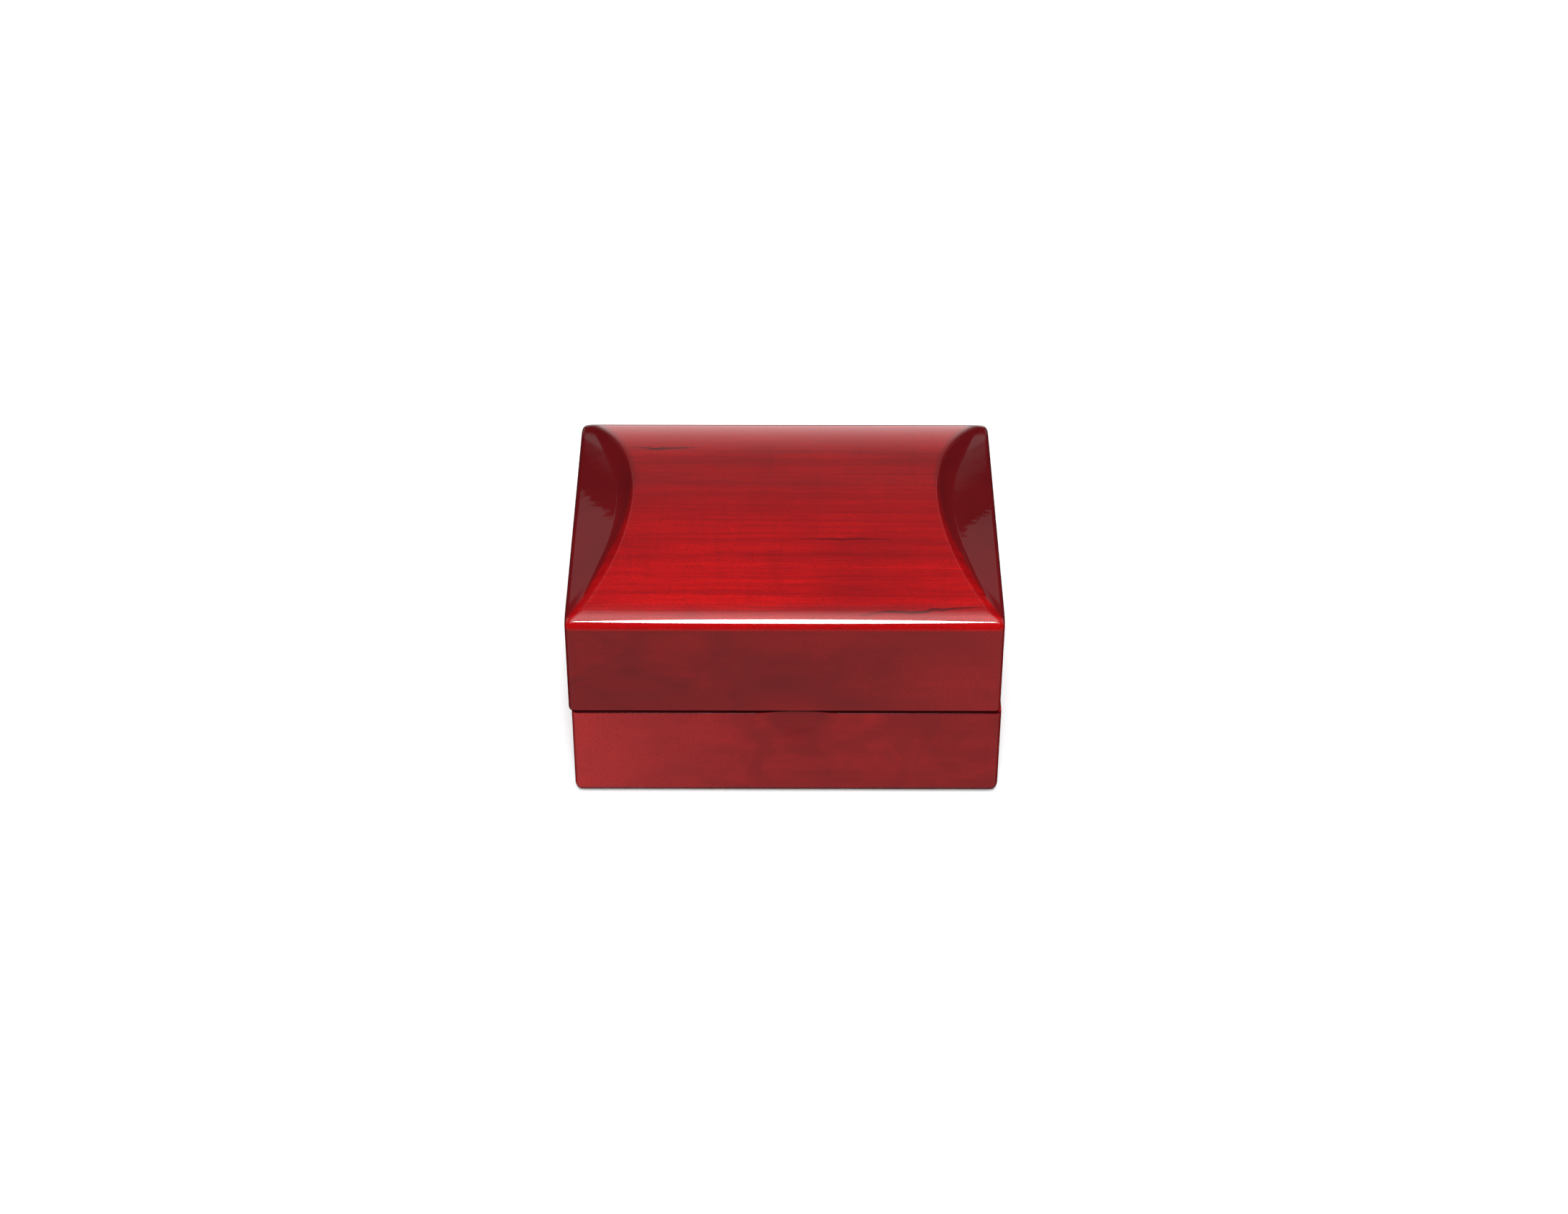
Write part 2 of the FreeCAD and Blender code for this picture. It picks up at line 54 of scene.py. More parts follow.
# ---------------------------------------------------------------- sizes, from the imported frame
lid_low, lid_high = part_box("lid_shell")
base_low, base_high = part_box("base_shell")
HINGE_Y, PARTING_Z = frame["joints"][0]["pos_m"][1:]
HALF_DEPTH = base_high.y
LID_CENTRE_X = (lid_low.x + lid_high.x) / 2
LID_HALF_WIDTH = (lid_high.x - lid_low.x) / 2
BASE_HALF_WIDTH = base_high.x
TOP_Z = lid_high.z
LID_RIM_Z = lid_low.z
BASE_RIM_Z = base_high.z
FOOT_Z = base_low.z

# The lid's form: a barrel vault over the depth, eased at front and back into a tighter rounded edge.
DOME_RISE = 4.55 * MM
EASED_ROUND = 4.5 * MM
EDGE_ROUND = 1.8 * MM
EDGE_TILT = math.radians(40)
CORNER_ROUND = 1.0 * MM
LID_RIM_ROUND = 0.4 * MM
BASE_RIM_ROUND = 0.08 * MM
FOOT_ROUND = 1.0 * MM
END_ROUND = 0.5 * MM
STOP_ANGLE = math.radians(48)
# Each end scoop: a tilted disc with a rounded rim.
SCOOP_TILT = math.radians(22)
SCOOP_DISC_RADIUS = 46.0 * MM
SCOOP_RIM_ROUND = 4.0 * MM
SCOOP_REACH = 11.2 * MM
CREASE_SOFTNESS = 1.4 * MM
# The darker stain of its carved wood, together with painted shade, ends on the scoop's rim: close to the
# floor at the front of the box, and high up at the back. These are the reaches at both, and the y between
# which one turns into the other.
SCOOP_STAIN_AND_SHADE_REACH = (1.2 * MM, 5.0 * MM)
SCOOP_STAIN_AND_SHADE_Y = (-12 * MM, 5 * MM)
# The finger scoop: a ball that just enters the front of the base's rim.
FINGER_HALF_WIDTH = 5.4 * MM
FINGER_DEPTH = 0.6 * MM
FINGER_X = 1.6 * MM
FINGER_SOFTNESS = 0.35 * MM
FINGER_REACH = 1.4 * FINGER_HALF_WIDTH
# How far the finger scoop darkens, by the cut wood's stain and by painted shade, and the depth where that
# is full.
FINGER_STAIN_AND_SHADE = 0.55
FINGER_SHADE_DEPTH = 0.3 * MM
# How finely the shells are divided: the spacing of the sections where a scoop bends the surface, and the
# steps along the dome, along each edge arc, round an upright corner and down the finger scoop.
FINE_STEP = 0.25 * MM
DOME_STEPS = 120
EDGE_STEPS = 8
CORNER_STEPS = 8
FINGER_STEPS = 25
# The cuts for the hinge: a groove for its barrel, and shallow recesses for its leaves.
GROOVE_RADIUS = 1.8 * MM
GROOVE_HALF_LENGTH = 18.2 * MM
BARREL_REACH = 1.7 * MM
LEAF_DEPTH = 0.5 * MM
LEAF_CLEARANCE = 0.1 * MM
CUT_MARGIN = 1.0 * MM

SHOULDER_Z = TOP_Z - DOME_RISE
DOME_RADIUS = (HALF_DEPTH**2 + DOME_RISE**2) / (2 * DOME_RISE)
DOME_CENTRE_Z = TOP_Z - DOME_RADIUS
STOP_HEIGHT = (HALF_DEPTH - HINGE_Y) * math.tan(STOP_ANGLE)
# Centres of the lid's two edge arcs: the tight one meets the upright face, the eased one the dome.
EDGE_Y = HALF_DEPTH - EDGE_ROUND
EASED_Y = EDGE_Y - (EASED_ROUND - EDGE_ROUND) * math.sin(EDGE_TILT)
EASED_Z = DOME_CENTRE_Z + math.sqrt((DOME_RADIUS - EASED_ROUND) ** 2 - EASED_Y**2)
EDGE_Z = EASED_Z + (EASED_ROUND - EDGE_ROUND) * math.cos(EDGE_TILT)


# ---------------------------------------------------------------- outlines in the YZ plane
def arc_points(centre, radius, start, stop, steps):
    """Points along an arc; angles in radians from +Y towards +Z, both ends included."""
    angles = np.linspace(start, stop, steps + 1)
    return [(centre[0] + radius * math.cos(a), centre[1] + radius * math.sin(a)) for a in angles]


def rounded_corner(before, corner, after, radius, steps=6):
    """The arc that rounds one corner of an outline, starting on the side of the point before it."""
    corner = Vector(corner)
    to_before = (Vector(before) - corner).normalized()
    to_after = (Vector(after) - corner).normalized()
    half_angle = to_before.angle(to_after) / 2
    centre = corner + (to_before + to_after).normalized() * (radius / math.sin(half_angle))
    start = corner + to_before * (radius / math.tan(half_angle)) - centre
    finish = corner + to_after * (radius / math.tan(half_angle)) - centre
    first = math.atan2(start.y, start.x)
    turn = math.remainder(math.atan2(finish.y, finish.x) - first, math.tau)
    return arc_points(centre, radius, first, first + turn, steps)


def lid_outline():
    """The lid's section from the back of its rim, over the dome, to the front of its rim."""
    tangent = math.atan2(EASED_Z - DOME_CENTRE_Z, EASED_Y)
    turn = math.pi / 2 - EDGE_TILT
    bevel_low = (HINGE_Y, LID_RIM_Z)
    bevel_high = (HALF_DEPTH, LID_RIM_Z + STOP_HEIGHT)
    front_low = (-HALF_DEPTH, LID_RIM_Z)
    back = (arc_points((EDGE_Y, EDGE_Z), EDGE_ROUND, 0, turn, EDGE_STEPS)
            + arc_points((EASED_Y, EASED_Z), EASED_ROUND, turn, tangent, EDGE_STEPS)[1:])
    dome = arc_points((0, DOME_CENTRE_Z), DOME_RADIUS, tangent, math.pi - tangent, DOME_STEPS)
    front = [(-y, z) for y, z in reversed(back)]
    return (
        rounded_corner(front_low, bevel_low, bevel_high, LID_RIM_ROUND)
        + rounded_corner(bevel_low, bevel_high, back[0], LID_RIM_ROUND)
        + back + dome[1:-1] + front
        + rounded_corner(front[-1], front_low, bevel_low, LID_RIM_ROUND)
    )


def base_outline():
    """The base's section from the back of its foot, over its rim, to the front of its foot."""
    foot_back, foot_front = (HALF_DEPTH, FOOT_Z), (-HALF_DEPTH, FOOT_Z)
    bevel_low = (HALF_DEPTH, BASE_RIM_Z - STOP_HEIGHT)
    bevel_high = (HINGE_Y, BASE_RIM_Z)
    front_high = (-HALF_DEPTH, BASE_RIM_Z)
    rim_front = rounded_corner(bevel_high, front_high, foot_front, BASE_RIM_ROUND)
    foot = rounded_corner(front_high, foot_front, foot_back, FOOT_ROUND)
    scoop_rows = np.linspace(rim_front[-1][1], BASE_RIM_Z - FINGER_REACH, FINGER_STEPS + 1)[1:]
    return (
        rounded_corner(foot_front, foot_back, bevel_low, FOOT_ROUND)
        + rounded_corner(foot_back, bevel_low, bevel_high, BASE_RIM_ROUND)
        + rounded_corner(bevel_low, bevel_high, front_high, BASE_RIM_ROUND)
        + rim_front + [(-HALF_DEPTH, z) for z in scoop_rows] + foot
    )


# ---------------------------------------------------------------- shell surfaces
def end_stations(half_width, dense_from, spacing, coarse):
    """Places along X for the sections: a few coarse ones over the middle, then at the given spacing from
    dense_from on, and closer still round the upright corners."""
    turns = np.linspace(0, math.pi / 2, CORNER_STEPS + 1)
    corner = half_width - CORNER_ROUND + CORNER_ROUND * np.sin(turns)
    dense = np.arange(dense_from, half_width - CORNER_ROUND, spacing)
    half = np.concatenate([np.linspace(0, dense_from, coarse, endpoint=False)[1:], dense, corner])
    return np.concatenate([-half[::-1], [0.0], half])


def inset(x, half_width, radius):
    """How far a rounded end of that radius lies inside the square end, at each x."""
    past = np.clip(np.abs(x) - (half_width - radius), 0, radius)
    return radius - np.sqrt(radius**2 - past**2)


def fade(values, start, finish):
    """0 up to start and 1 from finish on, in a straight line between."""
    return np.clip((values - start) / (finish - start), 0, 1)


def soft_least(a, b, softness):
    """The lesser of two heights, with the edge where they cross rounded off."""
    near = np.maximum(softness - np.abs(a - b), 0) / softness
    return np.minimum(a, b) - near**2 * softness / 4


def scoop_surface(x, y):
    """Height of an end scoop's surface above each plan point, x measured from the lid's middle, and
    how far the point lies out on the scoop's rim: below 0 on its flat floor."""
    outward = np.abs(x) - LID_HALF_WIDTH
    steep = 0.75 * SCOOP_RIM_ROUND
    flat_radius = SCOOP_DISC_RADIUS - SCOOP_RIM_ROUND
    rise_at_steep = SCOOP_RIM_ROUND - math.sqrt(SCOOP_RIM_ROUND**2 - steep**2)
    slope_at_steep = steep / math.sqrt(SCOOP_RIM_ROUND**2 - steep**2)
    along = -outward / math.cos(SCOOP_TILT)
    for _ in range(24):
        past = np.hypot(along + SCOOP_DISC_RADIUS - SCOOP_REACH, y) - flat_radius
        rim = np.clip(past, 0, steep)
        rise = SCOOP_RIM_ROUND - np.sqrt(SCOOP_RIM_ROUND**2 - rim**2)
        rise = np.where(past > steep, rise_at_steep + slope_at_steep * (past - steep), rise)
        along = (-outward + rise * math.sin(SCOOP_TILT)) / math.cos(SCOOP_TILT)
    return SHOULDER_Z + along * math.sin(SCOOP_TILT) + rise * math.cos(SCOOP_TILT), past


def shell_grid(outline, stations, half_width, end_z, end_round):
    """Sections of a shell at each station. The upright corners are rounded, and so are the two ends
    of the flat face at end_z."""
    y, z = (np.array(column)[None, :].repeat(len(stations), 0) for column in zip(*outline))
    x = stations[:, None].repeat(len(outline), 1)
    side = fade(np.abs(y), HALF_DEPTH - 3 * CORNER_ROUND, HALF_DEPTH)
    y = y - np.sign(y) * side * inset(x, half_width, CORNER_ROUND)
    return x, y, z + round_ends(x, z, half_width, end_z, end_round)


def round_ends(x, z, half_width, end_z, radius):
    """The lift in z that rounds the two ends of the flat face at end_z; downwards on the base's rim."""
    near = 1 - fade(np.abs(z - end_z), 0, 2 * radius)
    into_wood = -1 if end_z == BASE_RIM_Z else 1
    return into_wood * near * inset(x, half_width, radius)


def mesh_from_grid(name, x, y, z, material):
    """A closed mesh from a grid of points: bands between the sections, and a flat face at each end."""
    sections, count = x.shape
    vertices = np.stack([x, y, z], -1).reshape(-1, 3)
    faces = []
    for s in range(sections - 1):
        for p in range(count):
            q = (p + 1) % count
            faces.append((s * count + p, s * count + q, (s + 1) * count + q, (s + 1) * count + p))
    faces.append(tuple(range(count - 1, -1, -1)))
    faces.append(tuple((sections - 1) * count + p for p in range(count)))
    return new_object(name, vertices.tolist(), faces, material)


def new_object(name, vertices, faces, material=None):
    mesh = bpy.data.meshes.new(name)
    mesh.from_pydata([tuple(v) for v in vertices], [], faces)
    mesh.validate()
    mesh.update()
    piece = bpy.data.objects.new(name, mesh)
    bpy.context.scene.collection.objects.link(piece)
    if material:
        mesh.materials.append(material)
    return piece


def box_cutter(low, high):
    spans = [sorted(span) for span in zip(low, high)]
    corners = [(x, y, z) for x in spans[0] for y in spans[1] for z in spans[2]]
    faces = [(0, 1, 3, 2), (4, 6, 7, 5), (0, 4, 5, 1), (2, 3, 7, 6), (0, 2, 6, 4), (1, 5, 7, 3)]
    return new_object("cutter", corners, faces)


def rod_cutter(y, z, radius, x_low, x_high, sides=48):
    ring = arc_points((y, z), radius, 0, math.tau, sides)[:-1]
    corners = [(x, *point) for x in (x_low, x_high) for point in ring]
    faces = [(i, sides + i, sides + (i + 1) % sides, (i + 1) % sides) for i in range(sides)]
    faces += [tuple(range(sides)), tuple(range(2 * sides - 1, sides - 1, -1))]
    return new_object("cutter", corners, faces)


def cut(piece, cutters):
    """Take the cutters out of the piece, and leave the result in its mesh."""
    for cutter in cutters:
        boolean = piece.modifiers.new("cut", "BOOLEAN")
        boolean.operation = "DIFFERENCE"
        boolean.solver = "EXACT"
        boolean.object = cutter
    settle(piece)
    for cutter in cutters:
        bpy.data.objects.remove(cutter)


def settle(piece):
    """Apply the piece's modifiers to its mesh."""
    graph = bpy.context.evaluated_depsgraph_get()
    finished = bpy.data.meshes.new_from_object(piece.evaluated_get(graph))
    piece.modifiers.clear()
    old = piece.data
    piece.data = finished
    bpy.data.meshes.remove(old)


def shade(piece, sharp_degrees=35):
    """Smooth shading with edges sharper than the angle kept, and large faces kept flat."""
    piece.data.shade_smooth()
    piece.data.set_sharp_from_angle(angle=math.radians(sharp_degrees))
    weighted = piece.modifiers.new("flat faces", "WEIGHTED_NORMAL")
    weighted.keep_sharp = True
    weighted.weight = 80


def hinge_cutters(leaf_node, rim_z, into_wood, liner_back):
    """The groove for the hinge's barrel, and the recesses that let its leaf into the rim and back wall.
    into_wood is +1 where the wood lies above the rim, -1 where it lies below."""
    leaf_low, leaf_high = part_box(leaf_node)
    leaf_end = leaf_high.z if into_wood > 0 else leaf_low.z
    middle = (leaf_low.x + leaf_high.x) / 2
    right = leaf_high.x + LEAF_CLEARANCE
    start = (leaf_low.x - LEAF_CLEARANCE, liner_back - CUT_MARGIN, rim_z - into_wood * CUT_MARGIN)
    groove_ends = (middle - GROOVE_HALF_LENGTH, middle + GROOVE_HALF_LENGTH)
    return [
        rod_cutter(HINGE_Y, PARTING_Z, GROOVE_RADIUS, *groove_ends),
        box_cutter(start, (right, HINGE_Y - BARREL_REACH, rim_z + into_wood * LEAF_DEPTH)),
        box_cutter(start, (right, liner_back + LEAF_DEPTH, leaf_end)),
    ]


def add_carved(piece, amount):
    """Store how far each point lies in a carved hollow, for the material to darken with stain and painted
    shade.
    """
    piece.data.attributes.new("carved", "FLOAT", "POINT").data.foreach_set("value", amount.ravel())


def finish_shell(piece, body, cutters):
    cut(piece, cutters)
    shade(piece)
    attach(piece, body)
    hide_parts(f"{body}_shell")


def make_lid_shell(material):
    stations = end_stations(LID_HALF_WIDTH, dense_from=21 * MM, spacing=FINE_STEP, coarse=6)
    x, y, z = shell_grid(lid_outline(), stations, LID_HALF_WIDTH, LID_RIM_Z, LID_RIM_ROUND)
    over = z > LID_RIM_Z + 2 * STOP_HEIGHT
    scoop, past_floor = scoop_surface(x, y)
    near_top = fade(z, SHOULDER_Z - 5 * END_ROUND, SHOULDER_Z - END_ROUND)
    rounded_end = near_top * inset(x, LID_HALF_WIDTH, END_ROUND)
    z = np.where(over, soft_least(z, scoop, CREASE_SOFTNESS) - rounded_end, z)
    lid = mesh_from_grid("lid_shell_lacquered", x + LID_CENTRE_X, y, z, material)
    darkening_reach = np.interp(y, SCOOP_STAIN_AND_SHADE_Y, SCOOP_STAIN_AND_SHADE_REACH)
    add_carved(lid, over * fade(past_floor, darkening_reach, darkening_reach / 2))

    left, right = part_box("lid_liner_left")[0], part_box("lid_liner_right")[1]
    front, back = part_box("lid_liner_front")[0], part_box("lid_liner_back")[1]
    hollow = box_cutter((left.x, front.y, LID_RIM_Z - CUT_MARGIN), (right.x, back.y, right.z))
    finish_shell(lid, "lid", [hollow] + hinge_cutters("hinge_leaf_lid", LID_RIM_Z, 1, back.y))


def make_base_shell(material):
    ends = end_stations(BASE_HALF_WIDTH, dense_from=BASE_HALF_WIDTH - 4 * MM, spacing=1 * MM, coarse=12)
    finger = np.arange(FINGER_X - FINGER_REACH, FINGER_X + FINGER_REACH, FINE_STEP)
    outside = (ends < finger[0] - 2 * FINE_STEP) | (ends > finger[-1] + 2 * FINE_STEP)
    stations = np.sort(np.concatenate([ends[outside], finger]))
    x, y, z = shell_grid(base_outline(), stations, BASE_HALF_WIDTH, FOOT_Z, FOOT_ROUND)
    z = z + round_ends(x, z, BASE_HALF_WIDTH, BASE_RIM_Z, BASE_RIM_ROUND)

    ball_radius = (FINGER_HALF_WIDTH**2 + FINGER_DEPTH**2) / (2 * FINGER_DEPTH)
    ball_front = -HALF_DEPTH - ball_radius + FINGER_DEPTH
    reach = np.clip(ball_radius**2 - (x - FINGER_X) ** 2 - (z - BASE_RIM_Z) ** 2, 0, None)
    hollowed = -soft_least(np.full_like(x, HALF_DEPTH), -(ball_front + np.sqrt(reach)), FINGER_SOFTNESS)
    on_front = y < -HALF_DEPTH + 2 * BASE_RIM_ROUND
    y = np.where(on_front, y + (hollowed + HALF_DEPTH), y)
    base = mesh_from_grid("base_shell_lacquered", x, y, z, material)
    add_carved(base, FINGER_STAIN_AND_SHADE * on_front * fade(hollowed + HALF_DEPTH, 0, FINGER_SHADE_DEPTH))

    left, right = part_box("base_liner_left")[0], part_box("base_liner_right")[1]
    front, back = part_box("base_liner_front")[0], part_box("base_liner_back")[1]
    well = box_cutter((left.x, front.y, left.z), (right.x, back.y, BASE_RIM_Z + CUT_MARGIN))
    finish_shell(base, "base", [well] + hinge_cutters("hinge_leaf_base", BASE_RIM_Z, -1, back.y))


# ---------------------------------------------------------------- materials
Figure = namedtuple("Figure", "bands fibres cross clouds blotches pores")
# The palest colour is painted light along the lid's back, and the stain's own pale end towards one end of
# a front.
Stain = namedtuple("Stain", "dark light darkest palest")


class Shader:
    """Short names for the shader nodes that the materials and the studio are made of."""

    def __init__(self, tree, coordinates="Object"):
        self.tree = tree
        self.place = self.add("TexCoord").outputs[coordinates]

    def add(self, kind, **settings):
        node = self.tree.nodes.new(f"ShaderNode{kind}")
        for key, setting in settings.items():
            setattr(node, key, setting)
        return node

    def feed(self, socket, value):
        if isinstance(value, bpy.types.NodeSocket):
            self.tree.links.new(value, socket)
        else:
            socket.default_value = value

    def axes(self, vector=None):
        split = self.add("SeparateXYZ")
        self.feed(split.inputs[0], vector or self.place)
        return split.outputs

    def stretched(self, x, y, z, shift=0.0):
        """Position in millimetres, scaled along each axis: a larger number makes a finer pattern."""
        mapping = self.add("Mapping")
        self.feed(mapping.inputs["Vector"], self.place)
        mapping.inputs["Scale"].default_value = (x / MM, y / MM, z / MM)
        mapping.inputs["Location"].default_value = (shift, 1.7 * shift, 2.3 * shift)
        return mapping.outputs["Vector"]

    def noise(self, vector, detail=2.0, roughness=0.5, distortion=0.0):
        node = self.add("TexNoise")
        self.feed(node.inputs["Vector"], vector)
        node.inputs["Scale"].default_value = 1.0
        node.inputs["Detail"].default_value = detail
        node.inputs["Roughness"].default_value = roughness
        node.inputs["Distortion"].default_value = distortion
        return node.outputs["Fac"]

    def spread(self, value, low, high, to_low=0.0, to_high=1.0, smooth=False):
        """Stretch one range of values to another, held at its ends."""
        node = self.add("MapRange", interpolation_type="SMOOTHSTEP" if smooth else "LINEAR")
        ends = {"From Min": low, "From Max": high, "To Min": to_low, "To Max": to_high}
        for socket, number in ends.items():
            node.inputs[socket].default_value = number
        self.feed(node.inputs["Value"], value)
        return node.outputs["Result"]

    def band(self, value, rise, fall):
        """1 between the two pairs of values, 0 outside them, and a straight slope across each pair."""
        return self.product(self.spread(value, *rise), self.spread(value, *fall, 1.0, 0.0))

    def math(self, operation, *values):
        node = self.add("Math", operation=operation)
        for socket, value in zip(node.inputs, values):
            self.feed(socket, value)
        return node.outputs["Value"]

    def product(self, first, *others):
        for other in others:
            first = self.math("MULTIPLY", first, other)
        return first

    def sum(self, first, *others):
        for other in others:
            first = self.math("ADD", first, other)
        return first

    def mix(self, share, first, second, blend_type="MIX"):
        node = self.add("Mix", data_type="RGBA", blend_type=blend_type)
        self.feed(node.inputs[0], share)
        self.feed(node.inputs[6], first)
        self.feed(node.inputs[7], second)
        return node.outputs[2]

    def bump(self, height, distance, strength=1.0):
        node = self.add("Bump")
        self.feed(node.inputs["Height"], height)
        node.inputs["Distance"].default_value = distance
        node.inputs["Strength"].default_value = strength
        return node.outputs["Normal"]


class Surface(Shader):
    """A material with one Principled shader."""

    def __init__(self, name, **settings):
        self.material = bpy.data.materials.new(name)
        self.material.use_nodes = True
        super().__init__(self.material.node_tree)
        self.inputs = self.tree.nodes["Principled BSDF"].inputs
        for key, value in settings.items():
            self.inputs[key.replace("_", " ")].default_value = value


def shade_of(red, green, blue):
    """A colour given as display values from 0 to 255, as the shader wants it."""
    def channel(value):
        value /= 255
        return value / 12.92 if value <= 0.04045 else ((value + 0.055) / 1.055) ** 2.4
    return (channel(red), channel(green), channel(blue), 1.0)


def streak(surface, x, y, length, width, slope=0.0):
    """A mask for one dark mark along the grain on the lid's top; its place and size in millimetres."""
    axes = surface.axes()
    along = surface.math("MULTIPLY_ADD", axes[0], 2 / (length * MM), -2 * x / length)
    level = surface.math("MULTIPLY_ADD", axes[0], -slope, -y * MM + slope * x * MM)
    across = surface.product(surface.sum(axes[1], level), 2 / (width * MM))
    wobble = surface.noise(surface.stretched(0.25, 0.25, 0.25, x))
    across = surface.sum(across, surface.spread(wobble, 0.2, 0.8, -1.2, 1.2))
    ends = surface.math("POWER", surface.math("ABSOLUTE", along), 2.0)
    reach = surface.sum(ends, surface.math("POWER", surface.math("ABSOLUTE", across), 2.0))
    on_top = surface.spread(axes[2], EDGE_Z - 3 * MM, EDGE_Z - 2 * MM)
    return surface.product(surface.spread(reach, 1.0, 0.1, smooth=True), on_top)


def wood_figure(n, seed):
    """Noise patterns of a straight-grained veneer, from broad bands to fine fibres."""
    return Figure(
        bands=n.noise(n.stretched(0.012, 0.60, 0.60, seed), 5, 0.62, 0.5),
        fibres=n.noise(n.stretched(0.16, 5.5, 5.5, seed + 3), 4, 0.7, 0.3),
        cross=n.noise(n.stretched(0.34, 0.05, 0.05, seed + 5), 3, 0.55, 1.0),
        clouds=n.noise(n.stretched(0.045, 0.09, 0.09, seed + 8), 3, 0.5),
        blotches=n.noise(n.stretched(0.11, 0.15, 0.15, seed + 9), 3, 0.6, 0.6),
        pores=n.noise(n.stretched(2.2, 7.0, 7.0, seed + 12), 2, 0.6),
    )


def face_grain(n, figure, stain, streaks):
    """The colour of every face but the front: painted shade darkens the middle, and painted light
    brightens the back and the front edge.
    """
    y = n.axes()[1]
    front = -HALF_DEPTH
    colour = n.mix(n.spread(figure.bands, 0.36, 0.62), stain.dark, stain.light)
    colour = n.mix(n.spread(figure.fibres, 0.40, 0.68, 0.0, 0.50), colour, stain.darkest)
    colour = n.mix(n.spread(figure.cross, 0.50, 0.70, 0.0, 0.16), colour, stain.darkest)
    colour = n.mix(n.spread(figure.clouds, 0.42, 0.70, 0.0, 0.45), colour, stain.darkest)
    # Painted shade: darker across the middle of the depth, towards the back.
    middle = n.product(n.band(y, (-18 * MM, -2 * MM), (9 * MM, 20 * MM)), 0.4)
    colour = n.mix(middle, colour, stain.darkest)
    # Painted light: paler towards the back.
    colour = n.mix(n.spread(y, 12 * MM, 20 * MM, 0.0, 0.7), colour, stain.palest)
    # Painted light: the colour turns a brighter red towards the front edge.
    colour = n.mix(n.spread(y, front + 1.8 * MM, front + 0.4 * MM, 0.0, 0.2), colour, FRONT_EDGE_PAINTED_LIGHT)
    for mark in streaks:
        colour = n.mix(n.product(streak(n, *mark), 0.8), colour, STREAK_STAIN)
    return colour


def front_grain(n, figure, stain, pale_end):
    """The colour of the front face: blotched, and palest towards one end."""
    x = n.axes()[0]
    colour = n.mix(n.spread(figure.clouds, 0.35, 0.65), stain.dark, stain.light)
    colour = n.mix(n.spread(figure.blotches, 0.36, 0.60, 0.55, 0.0), colour, stain.darkest)
    colour = n.mix(n.spread(figure.bands, 0.35, 0.65, 0.25, 0.0), colour, stain.darkest)
    colour = n.mix(n.spread(figure.fibres, 0.42, 0.72, 0.0, 0.25), colour, stain.darkest)
    return n.mix(n.spread(x, 0.15 * pale_end, pale_end, 0.0, 0.55), colour, stain.palest)


def end_grain_and_shade(n, figure):
    """The colour of carved wood, where the cut drinks more stain, with painted shade that is darkest
    towards the back.
    """
    towards_front = n.spread(n.axes()[1], 8 * MM, -8 * MM)
    colour = n.mix(towards_front, shade_of(94, 13, 17), shade_of(101, 15, 19))
    return n.mix(n.spread(figure.clouds, 0.35, 0.70, 0.0, 0.35), colour, shade_of(64, 5, 9))


def lacquered_wood(name, seed, stain, front_stain, front_top, pale_end, streaks=()):
    """Red-stained wood with its grain along X, under a deep clear lacquer.
    The front face lies below the height front_top, and it is palest at the end whose X is pale_end."""
    n = Surface(name, Roughness=0.5, Specular_IOR_Level=0.0, Coat_Roughness=0.015, Coat_IOR=1.5)
    figure = wood_figure(n, seed)
    _, y, z = n.axes()
    on_front = n.product(n.spread(y, -HALF_DEPTH + 0.3 * MM, -HALF_DEPTH + 0.9 * MM, 1.0, 0.0),
                         n.spread(z, front_top - 0.1 * MM, front_top + 0.1 * MM, 1.0, 0.0))
    faces, front = face_grain(n, figure, stain, streaks), front_grain(n, figure, front_stain, pale_end)
    colour = n.mix(on_front, faces, front)
    colour = n.mix(n.spread(figure.pores, 0.46, 0.70, 0.0, 0.5), colour, stain.darkest)
    # Carved hollows darken: partly the cut wood's stain, partly painted shade.
    carved = n.add("Attribute", attribute_name="carved").outputs["Fac"]
    colour = n.mix(carved, colour, end_grain_and_shade(n, figure))

    # Both edges at the seam get a painted shadow and a thinner coat in front, so that the gap between
    # them reads as a shadow.
    from_seam = n.math("ABSOLUTE", n.sum(z, -SEAM_Z))
    seam_shadow = n.product(n.spread(from_seam, *SEAM_FADE, 0.9, 0.0), on_front)
    n.feed(n.inputs["Base Color"], n.mix(seam_shadow, colour, SEAM_PAINTED_SHADOW))
    n.feed(n.inputs["Coat Weight"], n.spread(seam_shadow, 0.0, 0.5, 1.0, 0.15))
    peel = n.noise(n.stretched(0.55, 0.55, 0.55, seed), 2, 0.4)
    n.feed(n.inputs["Coat Normal"], n.bump(peel, 0.003 * MM))
    return n.material


def velvet(name, pale, deep, seed):
    """Short pile that catches light at its edges, brushed lighter and darker in patches."""
    n = Surface(name, Roughness=0.95, Specular_IOR_Level=0.15, Sheen_Weight=0.8, Sheen_Roughness=0.35)
    n.inputs["Sheen Tint"].default_value = pale
    pile = n.noise(n.stretched(6.0, 6.0, 6.0, seed), 3, 0.7)
    nap = n.noise(n.stretched(0.22, 0.22, 0.22, seed + 2), 3, 0.55, 0.5)
    colour = n.mix(n.spread(pile, 0.30, 0.70), deep, pale)
    colour = n.mix(n.spread(nap, 0.40, 0.66, 0.0, 0.40), colour, deep)
    n.feed(n.inputs["Base Color"], colour)
    n.feed(n.inputs["Normal"], n.bump(pile, 0.06 * MM, 0.6))
    return n.material


